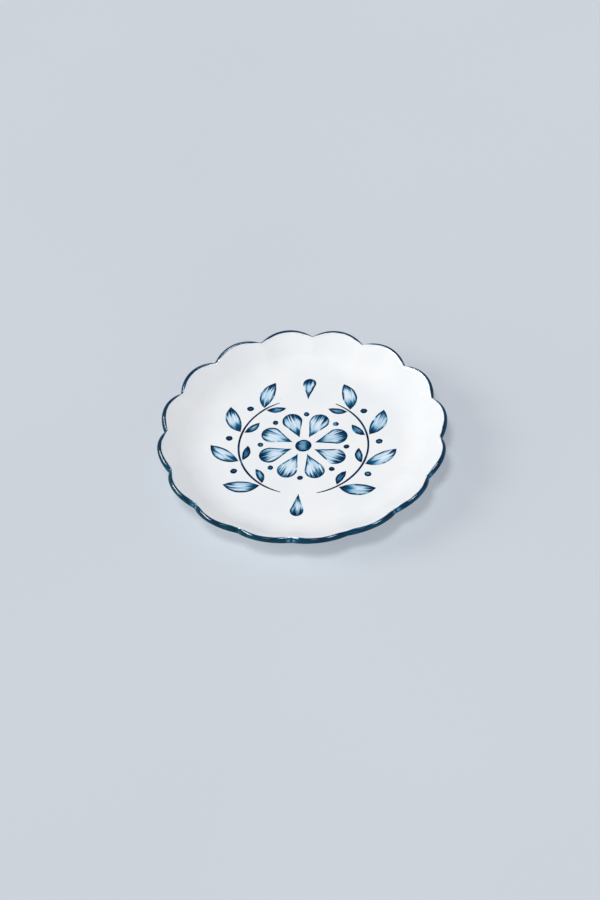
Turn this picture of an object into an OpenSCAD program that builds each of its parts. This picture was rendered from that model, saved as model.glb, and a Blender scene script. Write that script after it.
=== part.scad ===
// Decorative wall plate: a shallow scalloped dish with a blue glazed lip, a painted well,
// a bare foot ring and a wire hanger that swings in two holes of the foot.
// Millimetres, face up. The origin is the centre of the foot's standing face, and +Y is
// the top of the plate when it hangs.

/* [Plate] */
// Diameter over the crowns of the lobes
plate_d = 229; // [190:1:270]
// Number of lobes round the rim
lobes = 16; // [12:4:24]
// How far a lobe's crown lies outside the notches beside it
lobe_rise = 5.7; // [3:0.1:7]
// Thickness of the well's floor
floor_t = 4.8; // [3.5:0.1:6]
// Thickness of the wall where the rim band starts, in the middle of a lobe
lip_t = 4; // [2.5:0.1:5]
// Diameter of the flat floor of the well
floor_d = 153; // [130:1:170]
// Radius of the cove between the floor and the straight wall
cove_radius = 31; // [10:1:36]
// Slope of the wall at the lip, in degrees
wall_angle = 38; // [26:1:48]
// Depth of the flute down the middle of each lobe
flute_depth = 1.4; // [0:0.1:1.6]
// How much thicker the lip is at the notches than in the middle of a lobe
notch_swell = 1.2; // [0:0.1:2]

/* [Rim band] */
// How far the rounded glaze band reaches past the end of the wall
bead = 1.5; // [0.8:0.1:3]

/* [Foot ring] */
// Height of the foot ring, which is also the depth of the recess behind the plate
foot_h = 6; // [5:0.1:9]
// Width of the foot ring where it joins the plate
foot_w = 7; // [5:0.1:10]
// Distance from the edge of the flat floor in to the outside of the foot ring
foot_inset = 13; // [8:0.5:20]
// Chamfer on both edges of the standing face
foot_chamfer = 1.2; // [0.5:0.1:1.8]

/* [Hanger] */
// Diameter of the steel wire
wire_d = 2; // [1.4:0.1:2.4]
// Clearance round the wire in the holes of the foot ring
bore_clear = 0.1; // [0.05:0.05:0.3]
// Gap between the middle of the wire and the inside of the foot ring
bail_gap = 5; // [4:0.5:8]
// Bend radius where the bail turns into its pins
bend_r = 5; // [3:0.5:7]
// Distance of the pins above the middle of the plate
pin_y = 21.5; // [16:0.5:26]

/* [Painted decoration] */
// Thickness of the fired-on colour
paint_t = 0.15; // [0.1:0.05:0.3]
// Bare margin between the decoration and the edge of the flat floor
paint_margin = 3; // [2:0.5:8]
// Length of an outer leaf of the wreath
leaf_len = 29; // [20:0.5:32]
// Width of an outer leaf
leaf_w = 12; // [7:0.5:13]
// Length and width of an inner leaf against an outer one
inner_leaf = 0.54; // [0.4:0.02:0.9]
// Angle between a leaf and its stem, in degrees
leaf_splay = 33; // [30:1:40]
// Bare gap between a leaf and its stem, and from one leaf to the next
leaf_gap = 2.8; // [2:0.1:4]
// Width of the stems
stem_w = 2; // [1:0.1:2.5]
// Angle round from the bottom of the plate at which a stem starts
stem_from = 16; // [12:1:24]
// Angle round from the bottom of the plate at which a stem ends
stem_to = 154; // [146:1:158]
// Diameter of a berry
berry_d = 5.6; // [3:0.2:6.4]
// Distance of the berries outside the stem
berry_out = 8.6; // [6.6:0.2:10]
// Diameter of the round end of the two buds
bud_d = 11; // [7:0.2:13]
// Length of a bud
bud_len = 23; // [16:0.5:28]
// Bare ring between the rosette and the wreath
rosette_gap = 1; // [0.5:0.5:6]
// Number of petals in the rosette
petals = 8; // [6:1:9]
// Gap between the round ends of two petals
petal_gap = 5.5; // [4:0.5:9]
// Diameter of the heart of the rosette
heart_d = 13; // [8:0.2:15]
// Gap between the heart and the petals
heart_gap = 3; // [2:0.5:5]
// Diameter of the dots between the petals
dot_d = 4.8; // [2:0.2:5.6]

/* [Hidden] */
$fn = 96;

white_glaze = "whitesmoke";
blue_glaze = "#1b4c69";
brush_blue = "#3f6f96";
bare_clay = "#d9cbb6";
steel = "silver";

// Facets: steps along each lobe, round the cove, up the straight wall and over the bead
lobe_steps = 10;
cove_steps = 6;
wall_steps = 3;
bead_steps = 8;
around = lobes * lobe_steps;
stations = cove_steps + wall_steps;

// The rim, in plan: arcs that meet in notches
half_lobe = 180 / lobes;
bead_reach = norm([bead * cos(wall_angle), lip_t / 2 * sin(wall_angle)]);
crown_r = plate_d / 2 - bead_reach - lip_t / 2 * sin(wall_angle);
notch_r = crown_r - lobe_rise;
arc_centre = (crown_r ^ 2 - notch_r ^ 2) / (2 * (crown_r - notch_r * cos(half_lobe)));
arc_r = crown_r - arc_centre;

// The wall, in section: flat floor, cove, straight wall
floor_z = foot_h + floor_t;
floor_r = floor_d / 2;
longest_cove = 0.9 * (notch_r - floor_r) / sin(wall_angle);
cove_r = min(cove_radius, longest_cove);
cove_run = cove_r * sin(wall_angle);
// Power by which the flutes deepen from the floor to the top of the cove
flute_fade = 1.5;

// The foot ring, and the chord on which the hanger's pins lie
foot_out_r = floor_r - foot_inset;
foot_in_r = foot_out_r - foot_w;
bail_r = foot_in_r - bail_gap;
pin_z = foot_h / 2;
pin_end = sqrt((foot_out_r - foot_chamfer) ^ 2 - pin_y ^ 2);
bend_y = pin_y + bend_r;
bend_x = sqrt((bail_r + bend_r) ^ 2 - bend_y ^ 2);
bend_angle = atan2(bend_y, bend_x);
// The wire is a hair thinner round the bend, which laps by some degrees into what it joins
bend_thin = 0.06;
bend_lap = 3;

// The painted wreath: its leaf tips end at the margin, and its stems carry as many as fit
leaf_reach = leaf_gap + leaf_len;
paint_r = floor_r - paint_margin;
stem_r = sqrt(paint_r ^ 2 - (leaf_reach * cos(leaf_splay)) ^ 2) - leaf_reach * sin(leaf_splay);
stem_turn = stem_to - stem_from;
leaf_step = leaf_reach * cos(leaf_splay) + leaf_gap;
leaf_pairs = floor(stem_r * stem_turn * PI / 180 / leaf_step);
leaf_turn = stem_turn / leaf_pairs;
// Share of a leaf's width on its fuller side, which faces away from the stem
full_side = 0.68;
// Place of a berry between one leaf pair and the next
berry_place = 0.82;

// The painted rosette, inside the wreath
inner_depth = inner_leaf * (leaf_reach * sin(leaf_splay) + full_side * leaf_w);
rosette_r = stem_r - inner_depth - rosette_gap;
half_petal = 180 / petals;
petal_mid = (rosette_r + petal_gap / 2) / (1 + sin(half_petal));
petal_r = rosette_r - petal_mid;
petal_tip = heart_d / 2 + heart_gap;
dot_mid = rosette_r - dot_d / 2;

// Angle from the middle of the lobe that step j lies in
function lobe_angle(j) = (j % lobe_steps) * 2 * half_lobe / lobe_steps - half_lobe;

// Radius of the wall's end at step j
function edge_r(j) =
    let (a = lobe_angle(j)) arc_centre * cos(a) + sqrt(arc_r ^ 2 - (arc_centre * sin(a)) ^ 2);

// Slope of the wall at station i
function slope(i) = wall_angle * min(i / cove_steps, 1);

// Share of the flutes' full depth at station i, from none on the floor
function fade(i) = min(i / cove_steps, 1) ^ flute_fade;

// How hollow the wall is at step j: 1 in the middle of a lobe and 0 at its notches
function hollow(j) = 1 - (lobe_angle(j) / half_lobe) ^ 2;

// Radius and height of the plate's upper face at station i and step j
function upper(i, j) =
    let (
        run = cove_r * sin(slope(i)),
        climb = cove_r * (1 - cos(slope(i))),
        straight = max(i - cove_steps, 0) / wall_steps * (edge_r(j) - floor_r - cove_run),
        flute = flute_depth * fade(i) * hollow(j)
    )
    [floor_r + run + straight, floor_z + climb + straight * tan(wall_angle) - flute];

// Thickness of the wall at station i and step j
function thickness(i, j) =
    floor_t + (lip_t - floor_t) * i / stations + notch_swell * fade(i) * (1 - hollow(j));

// The point of the lower face below the upper one, one wall thickness away
function lower(i, j) = upper(i, j) + thickness(i, j) * [sin(slope(i)), -cos(slope(i))];

// Point k of the rounded band, from the outside of the wall's end over to its inside
function band(k, j) =
    let (
        turn = 180 * k / bead_steps,
        middle = (upper(stations, j) + lower(stations, j)) / 2,
        along = [cos(wall_angle), sin(wall_angle)],
        across = [sin(wall_angle), -cos(wall_angle)]
    )
    middle + thickness(stations, j) / 2 * cos(turn) * across + bead * sin(turn) * along;

// A point of a section, turned to step j
function turned(p, j) =
    let (a = 360 * j / around) [p[0] * cos(a), p[0] * sin(a), p[1]];

// The two triangles between rings a and b of points, at step j
function between(a, b, j) =
    let (
        n = (j + 1) % around,
        p = [a * around + j, a * around + n, b * around + j, b * around + n]
    )
    [[p[0], p[3], p[1]], [p[0], p[2], p[3]]];

function reversed(list) = [for (i = [len(list) - 1:-1:0]) list[i]];

module plate_body() {
    rings = 2 * stations + 2;
    points = concat(
        [for (i = [0:stations], j = [0:around - 1]) turned(upper(i, j), j)],
        [for (i = [stations:-1:0], j = [0:around - 1]) turned(lower(i, j), j)],
        [[0, 0, floor_z], [0, 0, foot_h]]
    );
    last = (rings - 1) * around;
    hub = rings * around;
    faces = concat(
        [for (i = [0:rings - 2], j = [0:around - 1]) each between(i, i + 1, j)],
        [for (j = [0:around - 1]) [hub, j, (j + 1) % around]],
        [for (j = [0:around - 1]) [hub + 1, last + (j + 1) % around, last + j]]
    );
    color(white_glaze) polyhedron(points, [for (f = faces) reversed(f)]);
}

module rim_band() {
    points = [for (k = [0:bead_steps], j = [0:around - 1]) turned(band(k, j), j)];
    faces = [
        for (k = [0:bead_steps], j = [0:around - 1]) each between(k, (k + 1) % (bead_steps + 1), j)
    ];
    color(blue_glaze) polyhedron(points, faces);
}

module foot_ring() {
    color(bare_clay) difference() {
        rotate_extrude()
            polygon([
                [foot_in_r, foot_h],
                [foot_in_r, foot_chamfer],
                [foot_in_r + foot_chamfer, 0],
                [foot_out_r - foot_chamfer, 0],
                [foot_out_r, foot_chamfer],
                [foot_out_r, foot_h],
            ]);
        translate([0, pin_y, pin_z]) rotate([0, 90, 0])
            cylinder(r = wire_d / 2 + bore_clear, h = 2 * foot_out_r, center = true);
    }
}

// A length of round wire bent to a radius, from one angle to another
module bent_wire(radius, from, to, thick) {
    rotate(from) rotate_extrude(angle = to - from) translate([radius, 0]) circle(d = thick);
}

// One end of the bail: the bend and the pin that turns in the foot ring
module bail_end() {
    translate([bend_x, bend_y])
        bent_wire(bend_r, 180 + bend_angle - bend_lap, 270 + bend_lap, wire_d - bend_thin);
    translate([bend_x, pin_y]) rotate([0, 90, 0]) cylinder(d = wire_d, h = pin_end - bend_x);
}

module hanger_bail() {
    color(steel) translate([0, 0, pin_z]) {
        bent_wire(bail_r, bend_angle, 180 - bend_angle, wire_d);
        bail_end();
        mirror([1, 0, 0]) bail_end();
    }
}

// Fired-on colour lying on the floor of the well
module paint() {
    color(brush_blue) translate([0, 0, floor_z]) linear_extrude(paint_t) children();
}

// A drop along +Y: a round end with a point reaching back to the given tip
module drop(tip, mid, radius) {
    lean = asin(radius / (mid - tip));
    side = radius * cos(lean);
    back = mid - radius * sin(lean);
    translate([0, mid]) circle(radius);
    polygon([[0, tip], [side, back], [-side, back]]);
}

// A leaf along +X, between two arcs over one chord
module leaf(length, width) {
    full = full_side * width;
    slim = width - full;
    full_r = (length ^ 2 / 4 + full ^ 2) / (2 * full);
    slim_r = (length ^ 2 / 4 + slim ^ 2) / (2 * slim);
    intersection() {
        translate([length / 2, full - full_r]) circle(full_r);
        translate([length / 2, slim_r - slim]) circle(slim_r);
    }
}

module painted_petals() {
    paint() for (k = [0:petals - 1])
        rotate(half_petal * (2 * k + 1)) drop(petal_tip, petal_mid, petal_r);
}

module painted_heart() {
    paint() {
        circle(d = heart_d);
        for (k = [0:petals - 1]) rotate(2 * half_petal * k) translate([0, dot_mid]) circle(d = dot_d);
    }
}

// Both branches of the wreath: what is drawn on the right is mirrored to the left
module both_branches() {
    children();
    mirror([1, 0, 0]) children();
}

module painted_stems() {
    paint() both_branches() rotate(stem_from - 90) difference() {
        intersection() {
            circle(stem_r + stem_w / 2);
            sector(stem_turn);
        }
        circle(stem_r - stem_w / 2);
    }
}

// A wedge that covers the plane from +X round to the given angle, out past the stem
module sector(angle) {
    far = 2 * stem_r;
    polygon([[0, 0], for (a = [0, 0.5, 1]) far * [cos(angle * a), sin(angle * a)]]);
}

module painted_leaves() {
    paint() both_branches() for (k = [0:leaf_pairs - 1]) {
        rotate(stem_from + leaf_turn * (k + 0.5)) translate([0, -stem_r]) {
            rotate(-leaf_splay) translate([leaf_gap, 0]) mirror([0, 1, 0]) leaf(leaf_len, leaf_w);
            rotate(leaf_splay) translate([leaf_gap, 0]) leaf(inner_leaf * leaf_len, inner_leaf * leaf_w);
        }
    }
}

module painted_buds() {
    paint() {
        for (end = [0, 180]) rotate(end) drop(paint_r - bud_len, paint_r - bud_d / 2, bud_d / 2);
        both_branches() for (k = [0:leaf_pairs - 2])
            rotate(stem_from + leaf_turn * (k + 0.5 + berry_place)) translate([0, -stem_r - berry_out])
                circle(d = berry_d);
    }
}

plate_body();
rim_band();
foot_ring();
hanger_bail();
painted_petals();
painted_heart();
painted_stems();
painted_leaves();
painted_buds();
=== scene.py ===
"""The looks of a scalloped wall plate: white glaze, a dark blue lip, brushed decoration, a bare foot
and a wire hanger. Metres, in the frame of the solid model."""
import math

import bmesh
import bpy
import numpy as np
from mathutils import Matrix, Vector


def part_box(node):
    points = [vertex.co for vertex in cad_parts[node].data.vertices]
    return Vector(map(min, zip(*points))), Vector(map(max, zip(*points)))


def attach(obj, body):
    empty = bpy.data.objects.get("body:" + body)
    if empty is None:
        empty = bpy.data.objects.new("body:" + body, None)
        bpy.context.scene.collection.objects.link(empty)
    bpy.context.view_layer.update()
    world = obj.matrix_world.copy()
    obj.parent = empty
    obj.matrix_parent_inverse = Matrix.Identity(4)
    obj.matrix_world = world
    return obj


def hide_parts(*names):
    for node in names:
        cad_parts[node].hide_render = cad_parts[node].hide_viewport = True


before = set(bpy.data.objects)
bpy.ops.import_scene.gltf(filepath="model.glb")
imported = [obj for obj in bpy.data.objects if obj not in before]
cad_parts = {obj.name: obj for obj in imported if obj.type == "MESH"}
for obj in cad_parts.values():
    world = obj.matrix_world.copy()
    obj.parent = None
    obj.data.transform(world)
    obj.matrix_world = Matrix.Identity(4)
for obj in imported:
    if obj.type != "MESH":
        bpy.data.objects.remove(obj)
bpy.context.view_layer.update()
MM = 0.001
SEED = 11
rng = np.random.default_rng(SEED)

# The plate, with the sizes of the solid model
LOBES = 16
PLATE_R = 114.5 * MM
LOBE_RISE = 5.7 * MM
FLOOR_R = 76.5 * MM
FLOOR_T = 4.8 * MM
LIP_T = 4.0 * MM
COVE_R = 31 * MM
WALL = math.radians(38)
FLUTE = 1.4 * MM
FLUTE_FADE = 1.5
NOTCH_SWELL = 1.2 * MM
BEAD = 1.5 * MM
FOOT_W = 7 * MM
_, foot_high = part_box("foot_ring")
FOOT_H = foot_high.z
FOOT_OUT_R = foot_high.x
FOOT_IN_R = FOOT_OUT_R - FOOT_W
paint_low, paint_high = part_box("painted_heart")
FLOOR_Z = paint_low.z
PAINT_T = paint_high.z - paint_low.z

# What the kiln and the hand leave: softened notches and flutes, an uneven rim, and glaze that ran
# onto the foot
NOTCH_SOFT = 0.9 * MM
FLUTE_SOFT = 3.0 * MM
UNEVEN_R = 0.35 * MM
UNEVEN_Z = 0.36 * MM
UNEVEN_LEAST = 0.25
WAVES_R = (2, 3, 5, 7)
WAVES_Z = (2, 3, 4, 6)
WEAKEST_WAVE = 0.4
FOOT_FILLET = 1.5 * MM
GLAZE_T = 0.12 * MM
SINK = 0.03 * MM

# The dipped lip: how far its skin reaches down inside and outside the wall
DIP_IN = 1.6 * MM
DIP_OUT = 3.4 * MM

# Where the blue ends, in millimetres along the skin from the lip's crest. Its inner edge lies higher
# at the notches, and leans by so many millimetres for each metre across the plate
BLUE_IN = 3.05
BLUE_OUT = 4.6
BLUE_NOTCH_RISE = 1.1
BLUE_LEAN = (-4.6, 2.3, 0.0)

# The painted decoration
PAINT_MARGIN = 3 * MM
STEM_W = 2 * MM
STEM_FROM = math.radians(16)
STEM_TO = math.radians(154)
STEM_TAPER = 0.6
STEM_TAPER_POWER = 6
LEAF_LEN = 29 * MM
LEAF_W = 12 * MM
LEAF_GAP = 2.8 * MM
LEAF_SPLAY = math.radians(33)
INNER_LEAF = 0.54
FULL_SIDE = 0.68
BERRY_D = 5.6 * MM
BERRY_OUT = 8.6 * MM
BERRY_PLACE = 0.82
BUD_D = 11 * MM
BUD_LEN = 23 * MM
ROSETTE_GAP = 1 * MM
PETALS = 8
PETAL_GAP = 5.5 * MM
HEART_D = 13 * MM
HEART_GAP = 3 * MM
DOT_D = 4.8 * MM

# The hand that paints: how far it wavers, in which waves along a stroke, and the largest share of the
# stroke's width that it leaves out on one side
HAND_WOBBLE = 0.35 * MM
HAND_WAVES = (1.3, 2.9, 5.3)
MOST_DRAWN_IN = 0.1

# The load of colour on the brush, from 0 to 1, fixed or between two limits
PETAL_LOAD = (0.06, 0.18)
DAB_LOAD = (0.45, 0.7)
HEART_LOAD = 0.42
STEM_LOAD = 0.5
LEAF_LOAD = 0.08
INNER_LEAF_LOAD = 0.34
LEAF_LOAD_SPREAD = 0.16
BUD_LOAD = 0.16

# The hanger, measured on its solid
bail_low, bail_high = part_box("hanger_bail")
WIRE_R = (bail_high.z - bail_low.z) / 2
PIN_Z = (bail_high.z + bail_low.z) / 2
PIN_END = bail_high.x
PIN_Y = bail_low.y + WIRE_R
BAIL_R = bail_high.y - WIRE_R
BEND_R = 5 * MM
WIRE_CHAMFER = 0.3 * MM

# How finely the meshes are divided: counts, and shares of a radius or a length. The cove takes its
# share of the way from the floor to the wall's end
LOBE_SAMPLES = 32
CROWDING = 0.55
COVE_SHARE = 2 / 3
FLOOR_RINGS = (0.02, 0.3, 0.6, 0.8, 0.9, 0.96)
COVE_RINGS = 30
WALL_RINGS = 16
FILLET_RINGS = 9
RECESS_RINGS = (0.9, 0.6, 0.3, 0.03)
BEAD_RINGS = 25
TONGUE_RINGS = (0.25, 0.5, 0.75, 0.92)
DAB_POINTS = 25
DROP_POINTS = 41
LEAF_POINTS = 37
STEM_POINTS = 90
PIN_POINTS = 6
BEND_POINTS = 14
BAIL_POINTS = 100
WIRE_SIDES = 24

# Derived: the rim in plan
half_lobe = math.pi / LOBES
bead_reach = math.hypot(BEAD * math.cos(WALL), LIP_T / 2 * math.sin(WALL))
crown_r = PLATE_R - bead_reach - LIP_T / 2 * math.sin(WALL)
notch_r = crown_r - LOBE_RISE
arc_centre = (crown_r ** 2 - notch_r ** 2) / (2 * (crown_r - notch_r * math.cos(half_lobe)))
arc_r = crown_r - arc_centre
cove_run = COVE_R * math.sin(WALL)

# Samples round the rim, closer together at the notches
lobe_share = np.linspace(-1, 1, LOBE_SAMPLES, endpoint=False)
crowded = CROWDING * np.sin(np.pi / 2 * lobe_share) + (1 - CROWDING) * lobe_share
theta = (np.arange(LOBES)[:, None] * 2 * half_lobe + half_lobe * (1 + crowded)[None, :]).ravel()
AROUND = len(theta)
off_middle = np.abs(theta % (2 * half_lobe) - half_lobe)


# Shared helpers

def smooth_object(name, points, faces):
    """A smooth-shaded mesh object, linked to the scene."""
    mesh = bpy.data.meshes.new(name)
    mesh.from_pydata([tuple(p) for p in points], [], faces)
    mesh.validate()
    mesh.polygons.foreach_set("use_smooth", [True] * len(mesh.polygons))
    piece = bpy.data.objects.new(name, mesh)
    bpy.context.scene.collection.objects.link(piece)
    return piece


def place(piece, body, slot, material, *nodes):
    """Gives a piece its material and its body, and hides the solids that it stands for. The slot is
    not used.
    """
    piece.data.materials.append(material)
    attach(piece, body)
    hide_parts(*nodes)


def point_vectors(mesh, name, values):
    """Stores one vector per vertex under a name that a material can read."""
    layer = mesh.attributes.new(name, "FLOAT_VECTOR", "POINT")
    layer.data.foreach_set("vector", np.asarray(values, np.float32).ravel())


def ring_faces(rings, count, closed):
    """Quads between rings of points, and from the last ring to the first if the section is closed."""
    faces = []
    for i in range(rings if closed else rings - 1):
        a = i * count
        b = (i + 1) % rings * count
        for j in range(count):
            n = (j + 1) % count
            faces.append((a + j, b + j, b + n, a + n))
    return faces


def turned_ring(r, z):
    """Points of one ring round the plate's axis."""
    r = np.broadcast_to(r, theta.shape)
    z = np.broadcast_to(z, theta.shape)
    return np.stack([r * np.cos(theta), r * np.sin(theta), z], axis=1)


def orient(piece):
    """Makes all faces of a closed mesh look outwards."""
    work = bmesh.new()
    work.from_mesh(piece.data)
    bmesh.ops.recalc_face_normals(work, faces=work.faces)
    work.to_mesh(piece.data)
    work.free()


# The plate's form

def from_lobe_middle(soft):
    """Angle from the middle of the lobe, with the corner at each notch rounded by a soft length."""
    return half_lobe - np.hypot(half_lobe - off_middle, soft / notch_r)


def slow_waves(size, waves):
    """A smooth random function round the plate, between -size and the least share of -size."""
    total = np.zeros_like(theta)
    for k in waves:
        total += rng.uniform(WEAKEST_WAVE, 1) * np.sin(k * theta + rng.uniform(0, 2 * np.pi)) / k
    fall = (total - total.max()) / (total.max() - total.min())
    return size * ((1 - UNEVEN_LEAST) * fall - UNEVEN_LEAST)


edge_angle = from_lobe_middle(NOTCH_SOFT)
arc_depth = np.sqrt(arc_r ** 2 - (arc_centre * np.sin(edge_angle)) ** 2)
edge_r = arc_centre * np.cos(edge_angle) + arc_depth
hollow = np.clip(1 - (from_lobe_middle(FLUTE_SOFT) / half_lobe) ** 2, 0, 1)
near_notch = np.clip(off_middle / half_lobe, 0, 1)
rim_dr = slow_waves(UNEVEN_R, WAVES_R)
rim_dz = slow_waves(UNEVEN_Z, WAVES_Z)


def upper(p):
    """Radius and height of the upper face, with p from 0 at the floor to 1 at the wall's end."""
    cove = min(p / COVE_SHARE, 1)
    straight = max(p - COVE_SHARE, 0) / (1 - COVE_SHARE) * (edge_r - FLOOR_R - cove_run)
    r = FLOOR_R + COVE_R * math.sin(WALL * cove) + straight
    z = FLOOR_Z + COVE_R * (1 - math.cos(WALL * cove)) + straight * math.tan(WALL)
    flute = FLUTE * cove ** FLUTE_FADE * hollow
    return r + rim_dr * p ** 2, z - flute + rim_dz * p ** 2


def lower(p):
    """The point of the lower face under upper(p), one wall thickness away."""
    cove = min(p / COVE_SHARE, 1)
    slope = WALL * cove
    thick = FLOOR_T + (LIP_T - FLOOR_T) * p + NOTCH_SWELL * cove ** FLUTE_FADE * (1 - hollow)
    r, z = upper(p)
    return r + thick * math.sin(slope), z - thick * math.cos(slope)


def plate_glaze():
    """The glazed body: well, fluted wall, underside and the glaze that runs onto the foot ring."""
    in_cove = np.linspace(0, COVE_SHARE, COVE_RINGS)
    on_wall = np.linspace(COVE_SHARE, 1, WALL_RINGS)
    stations = np.concatenate([in_cove, on_wall[1:]])
    rings = [turned_ring(FLOOR_R * share, FLOOR_Z) for share in FLOOR_RINGS]
    rings += [turned_ring(*upper(p)) for p in stations]
    rings += [turned_ring(*lower(p)) for p in stations[::-1]]
    turns = np.linspace(0, np.pi / 2, FILLET_RINGS)
    reach = FOOT_FILLET * (1 - np.sin(turns))
    below = FOOT_FILLET * (1 - np.cos(turns))
    edge_z = FOOT_H - FOOT_FILLET - GLAZE_T
    outer = [(FOOT_OUT_R + GLAZE_T + a, FOOT_H - b) for a, b in zip(reach, below)]
    inner = [(FOOT_IN_R - GLAZE_T - a, FOOT_H - b) for a, b in zip(reach, below)]
    outer += [(FOOT_OUT_R - SINK, edge_z), (FOOT_OUT_R - SINK, FOOT_H)]
    inner += [(FOOT_IN_R + SINK, edge_z), (FOOT_IN_R + SINK, FOOT_H)]
    rings += [turned_ring(r, z) for r, z in outer + inner[::-1]]
    rings += [turned_ring(FOOT_IN_R * share, FOOT_H) for share in RECESS_RINGS]
    points = np.concatenate(rings + [[[0, 0, FLOOR_Z], [0, 0, FOOT_H]]])
    faces = ring_faces(len(rings), AROUND, closed=False)
    top, bottom = len(points) - 2, len(points) - 1
    last = (len(rings) - 1) * AROUND
    for j in range(AROUND):
        n = (j + 1) % AROUND
        faces.append((top, j, n))
        faces.append((bottom, last + n, last + j))
    piece = smooth_object("plate_glaze", points, faces)
    orient(piece)
    return piece


def rim_glaze():
    """The dipped lip: a rounded cap on the wall's end whose glaze thins out down both sides.

    Its section is drawn along and across the wall's end. Every point keeps its distance from the crest
    along the skin, in millimetres and negative on the outer side, and its nearness to a notch."""
    along = (math.cos(WALL), math.sin(WALL))
    across = (math.sin(WALL), -math.cos(WALL))
    r_in, z_in = upper(1)
    r_out, z_out = lower(1)
    middle = (r_in + r_out) / 2, (z_in + z_out) / 2
    half = LIP_T / 2
    swollen = 1 + NOTCH_SWELL / LIP_T * (1 - hollow)
    bead = [
        (BEAD * math.sin(t), (half + GLAZE_T * abs(math.cos(t))) * math.cos(t))
        for t in np.linspace(0, np.pi, BEAD_RINGS)
    ]
    outside = [(-DIP_OUT * s, half + GLAZE_T * (1 - s ** 2)) for s in TONGUE_RINGS]
    inside = [(-DIP_IN * s, -half - GLAZE_T * (1 - s ** 2)) for s in TONGUE_RINGS]
    skin = [(-DIP_OUT, half - SINK)] + outside[::-1] + bead + inside + [(-DIP_IN, SINK - half)]
    seat = [(-SINK, SINK - half), (-SINK, half - SINK)]
    steps = np.hypot(*np.diff(np.array(skin), axis=0).T)
    distance = np.concatenate([[0], np.cumsum(steps)])
    distance -= distance[int(np.argmax([u for u, v in skin]))]
    distance = list(distance) + [distance[-1], distance[0]]
    rings, dip = [], []
    for (u, v), d in zip(skin + seat, distance):
        r, z = (m + u * a + v * swollen * c for m, a, c in zip(middle, along, across))
        rings.append(turned_ring(r, z))
        dip.append(np.stack([np.full(AROUND, d / MM), near_notch, np.zeros(AROUND)], axis=1))
    faces = ring_faces(len(rings), AROUND, closed=True)
    piece = smooth_object("rim_glaze", np.concatenate(rings), faces)
    point_vectors(piece.data, "dip", np.concatenate(dip))
    orient(piece)
    return piece


# The brushed decoration

class Strokes:
    """Collects brush strokes, thin cushions of colour on the well's floor, into one piece.

    Each stroke is a grid between a left and a right outline. Every point keeps its share along the
    stroke, its distance from the nearer long edge and the stroke's load of colour, and then its
    places along and across with the stroke's seed. Distances are in millimetres."""

    ACROSS = np.array([-1, -0.94, -0.8, -0.5, 0, 0.5, 0.8, 0.94, 1])
    SIDE_POWER = 8
    END_POWER = 16
    SEEDS = 100
    SAME_POINT = 1e-6
    NO_LENGTH = 1e-7

    def __init__(self):
        self.work = bmesh.new()
        self.stroke = self.work.verts.layers.float_vector.new("stroke")
        self.brush = self.work.verts.layers.float_vector.new("brush")

    def add(self, left, right, load):
        """Adds one stroke, with an upper side above the floor and a lower side just sunk into it."""
        left, right = wobbled(left, right)
        count = len(left)
        middle = (left + right) / 2
        steps = np.hypot(*np.diff(middle, axis=0).T)
        length = np.concatenate([[0], np.cumsum(steps)])
        width = np.hypot(*(right - left).T)
        seed = rng.uniform(0, self.SEEDS)
        for height in (PAINT_T, -SINK):
            grid = []
            for i in range(count):
                ends = 1 - abs(2 * i / (count - 1) - 1) ** self.END_POWER
                row = []
                for v in self.ACROSS:
                    x, y = left[i] * (1 - v) / 2 + right[i] * (1 + v) / 2
                    rise = (1 - v ** self.SIDE_POWER) * ends
                    vert = self.work.verts.new((x, y, FLOOR_Z + height * rise))
                    aside = v * width[i] / 2 / MM
                    to_edge = (1 - abs(v)) * width[i] / 2 / MM
                    vert[self.stroke] = (length[i] / length[-1], to_edge, load)
                    vert[self.brush] = (length[i] / MM, aside, seed)
                    row.append(vert)
                grid.append(row)
            for a, b in zip(grid, grid[1:]):
                for k in range(len(self.ACROSS) - 1):
                    self.work.faces.new((a[k], a[k + 1], b[k + 1], b[k]))

    def piece(self, name):
        """Closes the strokes at their edges and makes one object of them."""
        bmesh.ops.remove_doubles(self.work, verts=self.work.verts, dist=self.SAME_POINT)
        bmesh.ops.dissolve_degenerate(self.work, edges=self.work.edges, dist=self.NO_LENGTH)
        bmesh.ops.recalc_face_normals(self.work, faces=self.work.faces)
        for face in self.work.faces:
            face.smooth = True
        mesh = bpy.data.meshes.new(name)
        self.work.to_mesh(mesh)
        self.work.free()
        made = bpy.data.objects.new(name, mesh)
        bpy.context.scene.collection.objects.link(made)
        return made


def wobbled(left, right):
    """A stroke's outlines, each drawn in here and there by an unsteady hand."""
    width = np.hypot(*(right - left).T)
    share = np.linspace(0, 2 * np.pi, len(left))
    drawn_in = []
    for _ in range(2):
        waves = [np.sin(k * share + rng.uniform(0, 2 * np.pi)) for k in HAND_WAVES]
        inset = HAND_WOBBLE * (0.5 + 0.5 * np.mean(waves, axis=0))
        inset_share = inset / np.maximum(width, HAND_WOBBLE)
        drawn_in.append(np.minimum(inset_share, MOST_DRAWN_IN)[:, None])
    across = right - left
    return left + drawn_in[0] * across, right - drawn_in[1] * across


def rotated(points, angle):
    """Plan points turned about the plate's axis."""
    c, s = math.cos(angle), math.sin(angle)
    return points @ np.array([[c, s], [-s, c]])


def flipped(points):
    """Plan points mirrored from right to left."""
    return points * [-1, 1]


def eased(count):
    """Shares from 0 to 1 that lie closer together at both ends."""
    return (1 - np.cos(np.linspace(0, np.pi, count))) / 2


def dab(radius):
    """Left and right outlines of a round dab, brushed in any direction."""
    y = radius * (2 * eased(DAB_POINTS) - 1)
    x = np.sqrt(np.maximum(radius ** 2 - y ** 2, 0))
    way = rng.uniform(0, 2 * np.pi)
    return rotated(np.stack([-x, y], 1), way), rotated(np.stack([x, y], 1), way)


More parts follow.
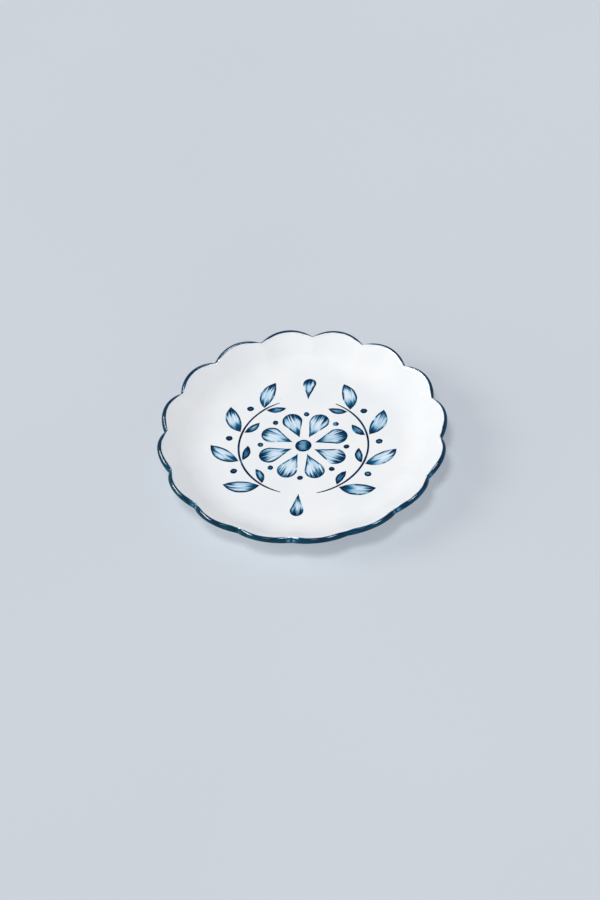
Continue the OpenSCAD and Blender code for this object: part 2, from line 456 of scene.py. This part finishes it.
def drop(tip, mid, radius):
    """Outlines of a drop along +Y: a point at the tip that widens to a round end about mid."""
    y = tip + (mid + radius - tip) * eased(DROP_POINTS)
    lean = math.asin(radius / (mid - tip))
    round_from = mid - radius * math.sin(lean)
    bow = np.sqrt(np.maximum(radius ** 2 - (y - mid) ** 2, 0))
    x = np.where(y < round_from, (y - tip) * math.tan(lean), bow)
    return np.stack([-x, y], 1), np.stack([x, y], 1)


def leaf(length, width):
    """Outlines of a leaf along +X between two arcs, the fuller side to its left."""
    full = FULL_SIDE * width
    slim = width - full
    x = length * eased(LEAF_POINTS)

    def bow(height):
        radius = (length ** 2 / 4 + height ** 2) / (2 * height)
        return np.sqrt(np.maximum(radius ** 2 - (x - length / 2) ** 2, 0)) - radius + height

    return np.stack([x, bow(full)], 1), np.stack([x, -bow(slim)], 1)


# Derived: the wreath and the rosette inside it
paint_r = FLOOR_R - PAINT_MARGIN
leaf_reach = LEAF_GAP + LEAF_LEN
leaf_side = leaf_reach * math.sin(LEAF_SPLAY)
leaf_ahead = leaf_reach * math.cos(LEAF_SPLAY)
stem_r = math.sqrt(paint_r ** 2 - leaf_ahead ** 2) - leaf_side
leaf_pairs = int(stem_r * (STEM_TO - STEM_FROM) / (leaf_ahead + LEAF_GAP))
leaf_turn = (STEM_TO - STEM_FROM) / leaf_pairs
rosette_r = stem_r - INNER_LEAF * (leaf_side + FULL_SIDE * LEAF_W) - ROSETTE_GAP
half_petal = math.pi / PETALS
petal_mid = (rosette_r + PETAL_GAP / 2) / (1 + math.sin(half_petal))
petal_r = rosette_r - petal_mid
petal_tip = HEART_D / 2 + HEART_GAP
dot_mid = rosette_r - DOT_D / 2


def painted_petals():
    """The rosette's petals."""
    strokes = Strokes()
    for k in range(PETALS):
        petal = drop(petal_tip, petal_mid, petal_r)
        turn = half_petal * (2 * k + 1)
        strokes.add(*[rotated(side, turn) for side in petal], rng.uniform(*PETAL_LOAD))
    return strokes.piece("brushed_petals")


def painted_heart():
    """The rosette's heart, and a dot between every two petals."""
    strokes = Strokes()
    strokes.add(*dab(HEART_D / 2), HEART_LOAD)
    for k in range(PETALS):
        dot = [side + [0, dot_mid] for side in dab(DOT_D / 2)]
        strokes.add(*[rotated(side, 2 * half_petal * k) for side in dot], rng.uniform(*DAB_LOAD))
    return strokes.piece("brushed_heart")


def painted_stems():
    """The wreath's two stems, slimmer at their ends."""
    strokes = Strokes()
    angle = np.linspace(STEM_FROM, STEM_TO, STEM_POINTS)
    from_middle = np.linspace(-1, 1, STEM_POINTS)
    taper = STEM_W / 2 * (1 - STEM_TAPER * from_middle ** STEM_TAPER_POWER)
    sides = [
        np.stack([(stem_r + s * taper) * np.sin(angle), -(stem_r + s * taper) * np.cos(angle)], 1)
        for s in (-1, 1)
    ]
    strokes.add(*sides, STEM_LOAD)
    strokes.add(*[flipped(side) for side in sides], STEM_LOAD)
    return strokes.piece("brushed_stems")


def painted_leaves():
    """The wreath's leaves, in pairs of a larger outer and a darker inner one."""
    strokes = Strokes()
    for k in range(leaf_pairs):
        turn = STEM_FROM + leaf_turn * (k + 0.5)
        outer = [side * [1, -1] for side in leaf(LEAF_LEN, LEAF_W)]
        inner = leaf(INNER_LEAF * LEAF_LEN, INNER_LEAF * LEAF_W)
        pair = ((outer, -LEAF_SPLAY, LEAF_LOAD), (inner, LEAF_SPLAY, INNER_LEAF_LOAD))
        for sides, splay, load in pair:
            set_out = [rotated(side + [LEAF_GAP, 0], splay) + [0, -stem_r] for side in sides]
            branch = [rotated(side, turn) for side in set_out]
            for twin in (branch, [flipped(side) for side in branch]):
                strokes.add(*twin, load + rng.uniform(0, LEAF_LOAD_SPREAD))
    return strokes.piece("brushed_leaves")


def painted_buds():
    """A bud at the wreath's top and bottom, and berries between its outer leaves."""
    strokes = Strokes()
    bud = drop(paint_r - BUD_LEN, paint_r - BUD_D / 2, BUD_D / 2)
    for end in (0, math.pi):
        strokes.add(*[rotated(side, end) for side in bud], BUD_LOAD)
    for k in range(leaf_pairs - 1):
        turn = STEM_FROM + leaf_turn * (k + 0.5 + BERRY_PLACE)
        berry = [rotated(side - [0, stem_r + BERRY_OUT], turn) for side in dab(BERRY_D / 2)]
        for twin in (berry, [flipped(side) for side in berry]):
            strokes.add(*twin, rng.uniform(*DAB_LOAD))
    return strokes.piece("brushed_buds")


# The hanger

def arc(mid_x, mid_y, radius, start, end, count):
    """Plan points along an arc."""
    angles = np.linspace(start, end, count)
    return [(mid_x + radius * math.cos(a), mid_y + radius * math.sin(a)) for a in angles]


def hanger_wire():
    """One length of round wire: pin, bend, bail, bend, pin.

    Every point keeps its place along the wire in millimetres, and its direction from the core."""
    bend_y = PIN_Y + BEND_R
    bend_x = math.sqrt((BAIL_R + BEND_R) ** 2 - bend_y ** 2)
    bend_angle = math.atan2(bend_y, bend_x)
    pin = [(x, PIN_Y) for x in np.linspace(PIN_END, bend_x, PIN_POINTS)]
    bend = arc(bend_x, bend_y, BEND_R, 1.5 * math.pi, math.pi + bend_angle, BEND_POINTS)
    bail = arc(0, 0, BAIL_R, bend_angle, math.pi - bend_angle, BAIL_POINTS)
    right = np.array(pin + bend[1:])
    route = np.concatenate([right, bail[1:-1], flipped(right[::-1])])
    tangent = np.gradient(route, axis=0)
    tangent /= np.hypot(*tangent.T)[:, None]
    normal = np.stack([-tangent[:, 1], tangent[:, 0]], 1)
    length = np.concatenate([[0], np.cumsum(np.hypot(*np.diff(route, axis=0).T))])
    last = len(route) - 1
    end_r = WIRE_R - WIRE_CHAMFER
    sections = [(0, 0.0, end_r), (0, WIRE_CHAMFER, WIRE_R)]
    sections += [(i, 0.0, WIRE_R) for i in range(1, last)]
    sections += [(last, -WIRE_CHAMFER, WIRE_R), (last, 0.0, end_r)]
    points, drawn = [], []
    for i, shift, radius in sections:
        centre = route[i] + tangent[i] * shift
        for k in range(WIRE_SIDES):
            a = 2 * math.pi * k / WIRE_SIDES
            x, y = centre + normal[i] * radius * math.cos(a)
            points.append((x, y, PIN_Z + radius * math.sin(a)))
            drawn.append((length[i] / MM, math.cos(a), math.sin(a)))
    faces = ring_faces(len(sections), WIRE_SIDES, closed=False)
    faces.append(tuple(range(WIRE_SIDES)))
    faces.append(tuple(range(len(points) - 1, len(points) - 1 - WIRE_SIDES, -1)))
    piece = smooth_object("hanger_wire", points, faces)
    point_vectors(piece.data, "drawn", drawn)
    orient(piece)
    return piece


# Materials

class Shader:
    """A material with a Principled shader, and short ways to add nodes to it.

    Most of these return a node's output, which the next one takes as an input."""

    def __init__(self, name):
        self.material = bpy.data.materials.new(name)
        self.material.use_nodes = True
        self.tree = self.material.node_tree
        self.principled = self.tree.nodes["Principled BSDF"]

    def node(self, kind, **settings):
        made = self.tree.nodes.new("ShaderNode" + kind)
        for key, value in settings.items():
            setattr(made, key, value)
        return made

    def put(self, socket, value):
        """Sets a socket to a number or colour, or links another node's output to it."""
        if isinstance(value, bpy.types.NodeSocket):
            self.tree.links.new(value, socket)
        else:
            socket.default_value = value

    def math(self, operation, a, b=0.0, clamp=False):
        made = self.node("Math", operation=operation, use_clamp=clamp)
        self.put(made.inputs[0], a)
        self.put(made.inputs[1], b)
        return made.outputs[0]

    def plus(self, a, b, clamp=False):
        return self.math("ADD", a, b, clamp)

    def minus(self, a, b, clamp=False):
        return self.math("SUBTRACT", a, b, clamp)

    def times(self, a, b):
        return self.math("MULTIPLY", a, b)

    def ease(self, value, start, end):
        """0 at start, 1 at end, smooth between them."""
        made = self.node("MapRange", interpolation_type="SMOOTHSTEP")
        self.put(made.inputs["Value"], value)
        self.put(made.inputs["From Min"], start)
        self.put(made.inputs["From Max"], end)
        return made.outputs[0]

    def mix(self, share, a, b):
        made = self.node("Mix", data_type="RGBA")
        self.put(made.inputs["Factor"], share)
        self.put(made.inputs["A"], a)
        self.put(made.inputs["B"], b)
        return made.outputs["Result"]

    def attribute(self, name):
        """The three parts of a stored vector."""
        parts = self.node("SeparateXYZ")
        self.put(parts.inputs[0], self.node("Attribute", attribute_name=name).outputs["Vector"])
        return parts.outputs

    def place(self):
        """Where a point lies, in metres."""
        return self.node("TexCoord").outputs["Object"]

    def along(self, direction):
        """How far a point lies along a direction, times the direction's length."""
        made = self.node("VectorMath", operation="DOT_PRODUCT")
        self.put(made.inputs[0], self.place())
        self.put(made.inputs[1], direction)
        return made.outputs["Value"]

    def noise(self, vector, scale, detail=2.0, roughness=0.5):
        made = self.node("TexNoise")
        self.put(made.inputs["Vector"], vector)
        self.put(made.inputs["Scale"], scale)
        self.put(made.inputs["Detail"], detail)
        self.put(made.inputs["Roughness"], roughness)
        return made.outputs[0]

    def patches(self, scale, low, high, detail=2.0):
        """Soft random patches: 0 where a noise is below low, 1 where it is above high."""
        return self.ease(self.noise(self.place(), scale, detail), low, high)

    def vector(self, x, y, z):
        made = self.node("CombineXYZ")
        for socket, value in zip(made.inputs, (x, y, z)):
            self.put(socket, value)
        return made.outputs[0]

    def dots(self, scale, size):
        """Round specks scattered at random: 1 in a speck and 0 elsewhere."""
        made = self.node("TexVoronoi")
        self.put(made.inputs["Vector"], self.place())
        self.put(made.inputs["Scale"], scale)
        return self.ease(made.outputs["Distance"], size, size * 0.5)

    def ramp(self, value, stops):
        """A colour between stops, each a position from 0 to 1 and a hex colour."""
        made = self.node("ValToRGB")
        elements = made.color_ramp.elements
        while len(elements) < len(stops):
            elements.new(0.5)
        for element, (position, hex_colour) in zip(elements, stops):
            element.position = position
            element.color = shade(hex_colour)
        self.put(made.inputs[0], value)
        return made.outputs[0]

    def bump(self, height, strength, distance):
        """Makes the surface look raised by a height, up to a distance in metres."""
        made = self.node("Bump")
        self.put(made.inputs["Strength"], strength)
        self.put(made.inputs["Distance"], distance)
        self.put(made.inputs["Height"], height)
        self.put(self.principled.inputs["Normal"], made.outputs[0])

    def set(self, **values):
        """Sets sockets of the Principled shader, named with _ for a space."""
        for key, value in values.items():
            self.put(self.principled.inputs[key.replace("_", " ")], value)


def shade(hex_colour):
    """A colour written as six hex digits, as linear light."""
    parts = [int(hex_colour[i:i + 2], 16) / 255 for i in (0, 2, 4)]
    linear = [c / 12.92 if c <= 0.04045 else ((c + 0.055) / 1.055) ** 2.4 for c in parts]
    return (*linear, 1.0)


WHITE = shade("f0f1f1")
WHITE_COOL = shade("ebeef0")
WHITE_WARM = shade("f1efea")
WHITE_SPECK = shade("8b8478")
CLAY = shade("c9b391")
CLAY_PALE = shade("d8c6a8")
CLAY_GRAIN = shade("b59a75")
CLAY_SPECK = shade("6f5539")
STEEL = shade("a5a8ab")
STEEL_BRIGHT = shade("c6c8ca")
STEEL_DULL = shade("8d8f92")
GROUND = shade("c9cfd6")
GROUND_PALE = shade("d0d6dc")

# Colours of the blue glazes from thin to thick: two for the lip, and one for the brushwork. On the lip
# the pale thin end also shows a painted sheen and painted glints
RIM_TEAL = [(0.0, "6f9fb4"), (0.3, "0d5c73"), (0.6, "003d50"), (1.0, "00293b")]
RIM_BLUE = [(0.0, "7099b8"), (0.3, "0f577a"), (0.6, "003a58"), (1.0, "002641")]
BRUSHED = [
    (0.0, "dfeaf4"), (0.14, "c0d8e9"), (0.32, "7fadc8"),
    (0.5, "2f7298"), (0.68, "084868"), (1.0, "001f43"),
]


def white_colour(s):
    """The white glaze's colour: drifting a little from cool to warm, with a few tiny specks."""
    colour = s.mix(s.patches(38, 0.35, 0.68, detail=3), WHITE_COOL, WHITE)
    colour = s.mix(s.times(s.patches(90, 0.55, 0.75), 0.5), colour, WHITE_WARM)
    specks = s.times(s.dots(90, 0.045), s.patches(47, 0.5, 0.56))
    return s.mix(s.times(specks, 0.55), colour, WHITE_SPECK)


def glaze_skin(s, waves):
    """The faint waviness of a fired glaze."""
    s.bump(s.noise(s.place(), 160, 3), waves, 0.4 * MM)


def white_glaze():
    """The plate's satin white."""
    s = Shader("white_glaze")
    s.set(Base_Color=white_colour(s), Roughness=0.5, Specular_IOR_Level=0.3)
    s.set(Coat_Weight=0.06, Coat_Roughness=0.25)
    glaze_skin(s, 0.08)
    return s.material


def rim_material():
    """Teal to blue where the lip was dipped, and white below the line.

    The blue is thinner over the crest, on the inner side, beside the notches and at its own edges. The
    paler crest and the pale patches beside the notches are partly a painted sheen and painted glints
    of the glossy bead."""
    s = Shader("blue_rim_glaze")
    distance, notch, _ = s.attribute("dip")
    wave = s.minus(s.noise(s.place(), 120), 0.5)
    rise = s.times(s.ease(notch, 0.6, 1.0), BLUE_NOTCH_RISE)
    inner_line = s.plus(s.plus(s.minus(wave, rise), BLUE_IN), s.along(BLUE_LEAN))
    outer_line = s.minus(s.times(wave, -1.4), BLUE_OUT)
    depth = s.math("MINIMUM", s.minus(inner_line, distance), s.minus(distance, outer_line))
    # Paler over the crest: partly the glaze thinning over the edge, partly a painted sheen along the
    # rounded bead
    off_crest = s.ease(s.math("ABSOLUTE", s.plus(distance, 0.5)), 0.2, 1.7)
    inner_side = s.ease(distance, 0.8, 2.0)
    # Pale patches beside the notches: partly glaze worn thin there, partly painted glints where the
    # lip catches the light
    beside_notch = s.times(s.ease(notch, 0.74, 0.9), s.ease(notch, 0.985, 0.95))
    worn_and_glints = s.times(beside_notch, s.patches(60, 0.42, 0.62))
    edge = s.ease(depth, 0.9, 0.1)
    # This thickness also carries the painted sheen over the crest and the painted glints beside the
    # notches
    thick = s.plus(s.times(off_crest, 0.3), s.noise(s.place(), 70, 4, 0.6))
    thick = s.minus(s.plus(thick, 0.1), s.times(inner_side, 0.18))
    thick = s.minus(thick, s.times(worn_and_glints, 0.5))
    thick = s.minus(thick, s.times(edge, 0.4), clamp=True)
    bluer = s.plus(s.patches(9, 0.45, 0.62), inner_side, clamp=True)
    tint = s.mix(bluer, s.ramp(thick, RIM_TEAL), s.ramp(thick, RIM_BLUE))
    cover = s.ease(depth, -0.05, 0.25)
    s.set(Base_Color=s.mix(cover, white_colour(s), tint), Roughness=0.16, Specular_IOR_Level=0.04)
    s.set(Coat_Weight=0.22, Coat_Roughness=0.03)
    glaze_skin(s, 0.12)
    return s.material


def brush_material():
    """Blue brushwork: dark along the edges and ends of a stroke, dry and streaky between them."""
    s = Shader("brushed_blue")
    along, edge, load = s.attribute("stroke")
    length, width, seed = s.attribute("brush")

    def bristles(wide, long):
        """Streaks of a width and a length in millimetres, from about -0.5 to 0.5."""
        lane = s.vector(s.times(length, 1 / long), s.times(width, 1 / wide), seed)
        return s.minus(s.noise(lane, 1.0, 3, 0.6), 0.5)

    streak = s.plus(s.times(bristles(1.6, 26), 1.5), s.times(bristles(0.6, 18), 0.9))
    ragged = s.plus(along, s.times(streak, 0.5))
    ends = s.math("MAXIMUM", s.ease(ragged, 0.42, 0.04), s.ease(ragged, 0.62, 0.96))
    sides = s.ease(s.plus(edge, s.times(streak, 1.6)), 2.2, 0.5)
    sides = s.times(sides, s.ease(bristles(6, 11), -0.16, 0.06))
    dry = s.ease(bristles(0.9, 40), 0.1, 0.22)
    tone = s.plus(load, s.times(s.math("MAXIMUM", ends, sides), 0.85))
    tone = s.plus(tone, s.times(streak, 0.6))
    tone = s.minus(tone, s.times(dry, 0.35), clamp=True)
    s.set(Base_Color=s.ramp(tone, BRUSHED), Roughness=0.4, Specular_IOR_Level=0.05)
    s.set(Coat_Weight=0.04, Coat_Roughness=0.18)
    glaze_skin(s, 0.06)
    return s.material


def bare_clay():
    """The foot ring's fired clay: cloudy, grainy and speckled."""
    s = Shader("bare_clay")
    grain = s.noise(s.place(), 900, 4, 0.65)
    colour = s.mix(s.patches(60, 0.35, 0.65, detail=3), CLAY, CLAY_PALE)
    colour = s.mix(s.times(s.ease(grain, 0.45, 0.72), 0.5), colour, CLAY_GRAIN)
    colour = s.mix(s.times(s.dots(520, 0.16), 0.6), colour, CLAY_SPECK)
    s.set(Base_Color=colour, Roughness=s.ease(grain, -0.6, 0.6))
    s.bump(grain, 0.35, 0.15 * MM)
    return s.material


def drawn_steel():
    """The hanger's wire: fine lines along it and a few duller clouds."""
    s = Shader("hanger_wire")
    length, side, up = s.attribute("drawn")
    lines = s.noise(s.vector(s.times(length, 0.04), s.times(side, 9), s.times(up, 9)), 1.0, 3)
    colour = s.mix(s.ease(lines, 0.3, 0.7), STEEL, STEEL_BRIGHT)
    colour = s.mix(s.times(s.patches(140, 0.5, 0.75), 0.35), colour, STEEL_DULL)
    s.set(Base_Color=colour, Metallic=1.0, Roughness=s.plus(s.times(lines, 0.25), 0.22))
    s.bump(lines, 0.12, 0.05 * MM)
    return s.material


def floor_material():
    """A pale floor that is clear from below, so that the plate's back can be seen."""
    s = Shader("floor")
    soft = s.noise(s.place(), 2.2)
    s.set(Base_Color=s.mix(soft, GROUND, GROUND_PALE), Roughness=0.75)
    sides = s.node("MixShader")
    s.put(sides.inputs[0], s.node("NewGeometry").outputs["Backfacing"])
    s.put(sides.inputs[1], s.principled.outputs[0])
    s.put(sides.inputs[2], s.node("BsdfTransparent").outputs[0])
    s.put(s.tree.nodes["Material Output"].inputs["Surface"], sides.outputs[0])
    return s.material


# The pieces

brush = brush_material()
place(plate_glaze(), "plate", "white_glaze", white_glaze(), "plate_body")
lip = rim_glaze()
place(lip, "plate", "blue_rim_glaze", rim_material(), "rim_band")
place(painted_petals(), "plate", "brushed_blue", brush, "painted_petals")
place(painted_heart(), "plate", "brushed_blue", brush, "painted_heart")
place(painted_stems(), "plate", "brushed_blue", brush, "painted_stems")
place(painted_leaves(), "plate", "brushed_blue", brush, "painted_leaves")
place(painted_buds(), "plate", "brushed_blue", brush, "painted_buds")
place(hanger_wire(), "hanger", "hanger_wire", drawn_steel(), "hanger_bail")
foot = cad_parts["foot_ring"]
foot.data.materials.clear()
foot.data.materials.append(bare_clay())

# The floor
FLOOR_SIDE = 60.0
half_side = FLOOR_SIDE / 2
corners = [(x * half_side, y * half_side, 0) for x, y in ((-1, -1), (1, -1), (1, 1), (-1, 1))]
floor = smooth_object("floor", corners, [(0, 1, 2, 3)])
floor.data.materials.append(floor_material())
floor.visible_shadow = False


# The light: a broad soft lamp from above, a soft one from the left without a sheen, some light from
# below for the plate's back, an even world, and two panes that show only as reflections in the
# glossy lip. A pane has a name, a place, a width and a height
WORLD_STRENGTH = 0.61
WORLD_COLOUR = (0.935, 0.955, 1.0, 1.0)
PANE_GLOW = 55
PANE_COLOUR = (0.86, 0.95, 1.0)
PANES = (
    ("left_pane", (-1.5, 0.25, 1.35), 1.5, 0.7),
    ("right_pane", (0.95, -0.05, 1.85), 0.8, 0.7),
)


def lamp(name, kind, place_m, power, colour):
    """A lamp that looks at the plate."""
    light = bpy.data.lights.new(name, kind)
    light.energy = power
    light.color = colour
    holder = bpy.data.objects.new(name, light)
    holder.location = place_m
    holder.rotation_euler = (-Vector(place_m)).to_track_quat("-Z", "Y").to_euler()
    bpy.context.scene.collection.objects.link(holder)
    return holder


softbox = lamp("softbox", "SUN", (-0.15, -0.4, 1.2), power=0.96, colour=(1.0, 0.995, 0.985))
softbox.data.angle = math.radians(16)
window = lamp("window", "SUN", (-1.29, -0.1, 0.7), power=0.92, colour=(1.0, 0.985, 0.955))
window.data.angle = math.radians(28)
window.visible_glossy = False
under = lamp("under", "AREA", (0.3, -0.4, -1.2), power=9.0, colour=(1.0, 1.0, 1.0))
under.data.size = 1.5
lip_only = bpy.data.collections.new("lip_only")
lip_only.objects.link(lip)
for name, place_m, wide, tall in PANES:
    pane = lamp(name, "AREA", place_m, PANE_GLOW * math.pi * wide * tall, PANE_COLOUR)
    pane.data.shape = "RECTANGLE"
    pane.data.size = wide
    pane.data.size_y = tall
    pane.visible_diffuse = False
    pane.light_linking.receiver_collection = lip_only
world = bpy.data.worlds.new("even_fill")
world.use_nodes = True
background = world.node_tree.nodes["Background"]
background.inputs["Color"].default_value = WORLD_COLOUR
background.inputs["Strength"].default_value = WORLD_STRENGTH
bpy.context.scene.world = world

# The camera, at the photograph's angle to the plate
LENS_MM = 92
SENSOR_MM = 36
CAMERA_AT = (0.16552, -1.22026, 1.33856)
RIGHT = Vector((0.99549, 0.07733, -0.05502))
UP = Vector((-0.0198, 0.7362, 0.67647))
FORWARD = Vector((-0.09282, 0.67233, -0.7344))
camera_data = bpy.data.cameras.new("camera")
camera_data.lens = LENS_MM
camera_data.sensor_width = SENSOR_MM
camera = bpy.data.objects.new("camera", camera_data)
turn = Matrix((RIGHT, UP, -FORWARD)).transposed()
camera.matrix_world = Matrix.Translation(CAMERA_AT) @ turn.to_4x4()
bpy.context.scene.collection.objects.link(camera)
bpy.context.scene.camera = camera
bpy.context.scene.view_settings.view_transform = "Standard"
